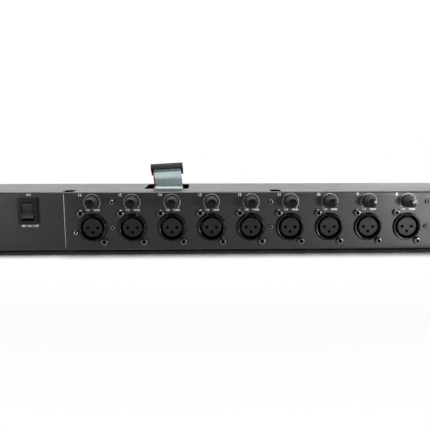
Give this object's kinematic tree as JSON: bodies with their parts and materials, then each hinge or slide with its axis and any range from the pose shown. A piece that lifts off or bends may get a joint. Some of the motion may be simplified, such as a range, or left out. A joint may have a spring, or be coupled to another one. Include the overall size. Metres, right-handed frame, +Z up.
{
  "type": "microphone preamp",
  "caption": "Long dark-grey sheet-metal microphone preamp box with a row of XLR sockets under trim knobs, a rocker switch, and a grey ribbon lead standing out of its top.",
  "frame": {"origin": "centre of the case's flat bottom face", "axes": "+X along the case to the right as seen from the front, -Y out of the front panel with the sockets and knobs, +Z up through the top with the ribbon lead"},
  "size_m": [0.432, 0.0842, 0.0713],
  "materials": {
    "case_paint": "satin",
    "socket_plastic": "gloss",
    "insert_plastic": "matte",
    "knob_plastic": "semi-gloss",
    "rocker_plastic": "semi-gloss",
    "zinc_screw": "zinc plated",
    "bright_screw": "bright",
    "bracket_steel": "plain",
    "board": "solder mask",
    "ribbon": "satin",
    "housing": "satin",
    "housing_cover": "satin"
  },
  "bodies": {
    "case": {"chassis": "case_paint", "rear_cover": "case_paint", "preamp_board": "board", "bracket_left": "bracket_steel", "bracket_middle": "bracket_steel", "bracket_right": "bracket_steel", "phantom_switch_body": "socket_plastic", "earth_screw": "bright_screw", "cover_screw_1": "zinc_screw", "cover_screw_2": "zinc_screw", "cover_screw_3": "zinc_screw", "cover_screw_4": "zinc_screw", "cover_screw_5": "zinc_screw", "cover_screw_6": "zinc_screw", "ribbon_board_connector": "housing", "ribbon_cable": "ribbon", "ribbon_socket_body": "housing", "ribbon_socket_cover": "housing_cover", "xlr_shell_16": "socket_plastic", "xlr_shell_15": "socket_plastic", "xlr_shell_14": "socket_plastic", "xlr_shell_13": "socket_plastic", "xlr_shell_12": "socket_plastic", "xlr_shell_11": "socket_plastic", "xlr_shell_10": "socket_plastic", "xlr_shell_9": "socket_plastic", "xlr_shell_8": "socket_plastic", "xlr_shell_7": "socket_plastic", "xlr_insert_16": "insert_plastic", "xlr_insert_15": "insert_plastic", "xlr_insert_14": "insert_plastic", "xlr_insert_13": "insert_plastic", "xlr_insert_12": "insert_plastic", "xlr_insert_11": "insert_plastic", "xlr_insert_10": "insert_plastic", "xlr_insert_9": "insert_plastic", "xlr_insert_8": "insert_plastic", "xlr_insert_7": "insert_plastic"},
    "rocker": {"phantom_rocker": "rocker_plastic"},
    "knob_16": {"trim_knob_16": "knob_plastic"},
    "latch_16": {"xlr_latch_16": "socket_plastic"},
    "knob_15": {"trim_knob_15": "knob_plastic"},
    "latch_15": {"xlr_latch_15": "socket_plastic"},
    "knob_14": {"trim_knob_14": "knob_plastic"},
    "latch_14": {"xlr_latch_14": "socket_plastic"},
    "knob_13": {"trim_knob_13": "knob_plastic"},
    "latch_13": {"xlr_latch_13": "socket_plastic"},
    "knob_12": {"trim_knob_12": "knob_plastic"},
    "latch_12": {"xlr_latch_12": "socket_plastic"},
    "knob_11": {"trim_knob_11": "knob_plastic"},
    "latch_11": {"xlr_latch_11": "socket_plastic"},
    "knob_10": {"trim_knob_10": "knob_plastic"},
    "latch_10": {"xlr_latch_10": "socket_plastic"},
    "knob_9": {"trim_knob_9": "knob_plastic"},
    "latch_9": {"xlr_latch_9": "socket_plastic"},
    "knob_8": {"trim_knob_8": "knob_plastic"},
    "latch_8": {"xlr_latch_8": "socket_plastic"},
    "knob_7": {"trim_knob_7": "knob_plastic"},
    "latch_7": {"xlr_latch_7": "socket_plastic"}
  },
  "joints": [
    {"name": "rocker_tilt", "type": "hinge", "parent": "case", "child": "rocker", "pos_m": [-0.1554, -0.035, 0.0334], "axis": [1, 0, 0], "range_deg": [0, 24]},
    {"name": "knob_turn_16", "type": "hinge", "parent": "case", "child": "knob_16", "pos_m": [-0.103, -0.036, 0.0405], "axis": [0, 1, 0], "range_deg": [-150, 150]},
    {"name": "latch_push_16", "type": "slide", "parent": "case", "child": "latch_16", "axis": [0, 1, 0], "range_m": [0, 0.0015], "stiffness_N_per_m": 400},
    {"name": "knob_turn_15", "type": "hinge", "parent": "case", "child": "knob_15", "pos_m": [-0.06998, -0.036, 0.0405], "axis": [0, 1, 0], "range_deg": [-150, 150]},
    {"name": "latch_push_15", "type": "slide", "parent": "case", "child": "latch_15", "axis": [0, 1, 0], "range_m": [0, 0.0015], "stiffness_N_per_m": 400},
    {"name": "knob_turn_14", "type": "hinge", "parent": "case", "child": "knob_14", "pos_m": [-0.03696, -0.036, 0.0405], "axis": [0, 1, 0], "range_deg": [-150, 150]},
    {"name": "latch_push_14", "type": "slide", "parent": "case", "child": "latch_14", "axis": [0, 1, 0], "range_m": [0, 0.0015], "stiffness_N_per_m": 400},
    {"name": "knob_turn_13", "type": "hinge", "parent": "case", "child": "knob_13", "pos_m": [-0.00394, -0.036, 0.0405], "axis": [0, 1, 0], "range_deg": [-150, 150]},
    {"name": "latch_push_13", "type": "slide", "parent": "case", "child": "latch_13", "axis": [0, 1, 0], "range_m": [0, 0.0015], "stiffness_N_per_m": 400},
    {"name": "knob_turn_12", "type": "hinge", "parent": "case", "child": "knob_12", "pos_m": [0.02908, -0.036, 0.0405], "axis": [0, 1, 0], "range_deg": [-150, 150]},
    {"name": "latch_push_12", "type": "slide", "parent": "case", "child": "latch_12", "axis": [0, 1, 0], "range_m": [0, 0.0015], "stiffness_N_per_m": 400},
    {"name": "knob_turn_11", "type": "hinge", "parent": "case", "child": "knob_11", "pos_m": [0.0621, -0.036, 0.0405], "axis": [0, 1, 0], "range_deg": [-150, 150]},
    {"name": "latch_push_11", "type": "slide", "parent": "case", "child": "latch_11", "axis": [0, 1, 0], "range_m": [0, 0.0015], "stiffness_N_per_m": 400},
    {"name": "knob_turn_10", "type": "hinge", "parent": "case", "child": "knob_10", "pos_m": [0.09512, -0.036, 0.0405], "axis": [0, 1, 0], "range_deg": [-150, 150]},
    {"name": "latch_push_10", "type": "slide", "parent": "case", "child": "latch_10", "axis": [0, 1, 0], "range_m": [0, 0.0015], "stiffness_N_per_m": 400},
    {"name": "knob_turn_9", "type": "hinge", "parent": "case", "child": "knob_9", "pos_m": [0.12814, -0.036, 0.0405], "axis": [0, 1, 0], "range_deg": [-150, 150]},
    {"name": "latch_push_9", "type": "slide", "parent": "case", "child": "latch_9", "axis": [0, 1, 0], "range_m": [0, 0.0015], "stiffness_N_per_m": 400},
    {"name": "knob_turn_8", "type": "hinge", "parent": "case", "child": "knob_8", "pos_m": [0.16116, -0.036, 0.0405], "axis": [0, 1, 0], "range_deg": [-150, 150]},
    {"name": "latch_push_8", "type": "slide", "parent": "case", "child": "latch_8", "axis": [0, 1, 0], "range_m": [0, 0.0015], "stiffness_N_per_m": 400},
    {"name": "knob_turn_7", "type": "hinge", "parent": "case", "child": "knob_7", "pos_m": [0.19418, -0.036, 0.0405], "axis": [0, 1, 0], "range_deg": [-150, 150]},
    {"name": "latch_push_7", "type": "slide", "parent": "case", "child": "latch_7", "axis": [0, 1, 0], "range_m": [0, 0.0015], "stiffness_N_per_m": 400}
  ]
}
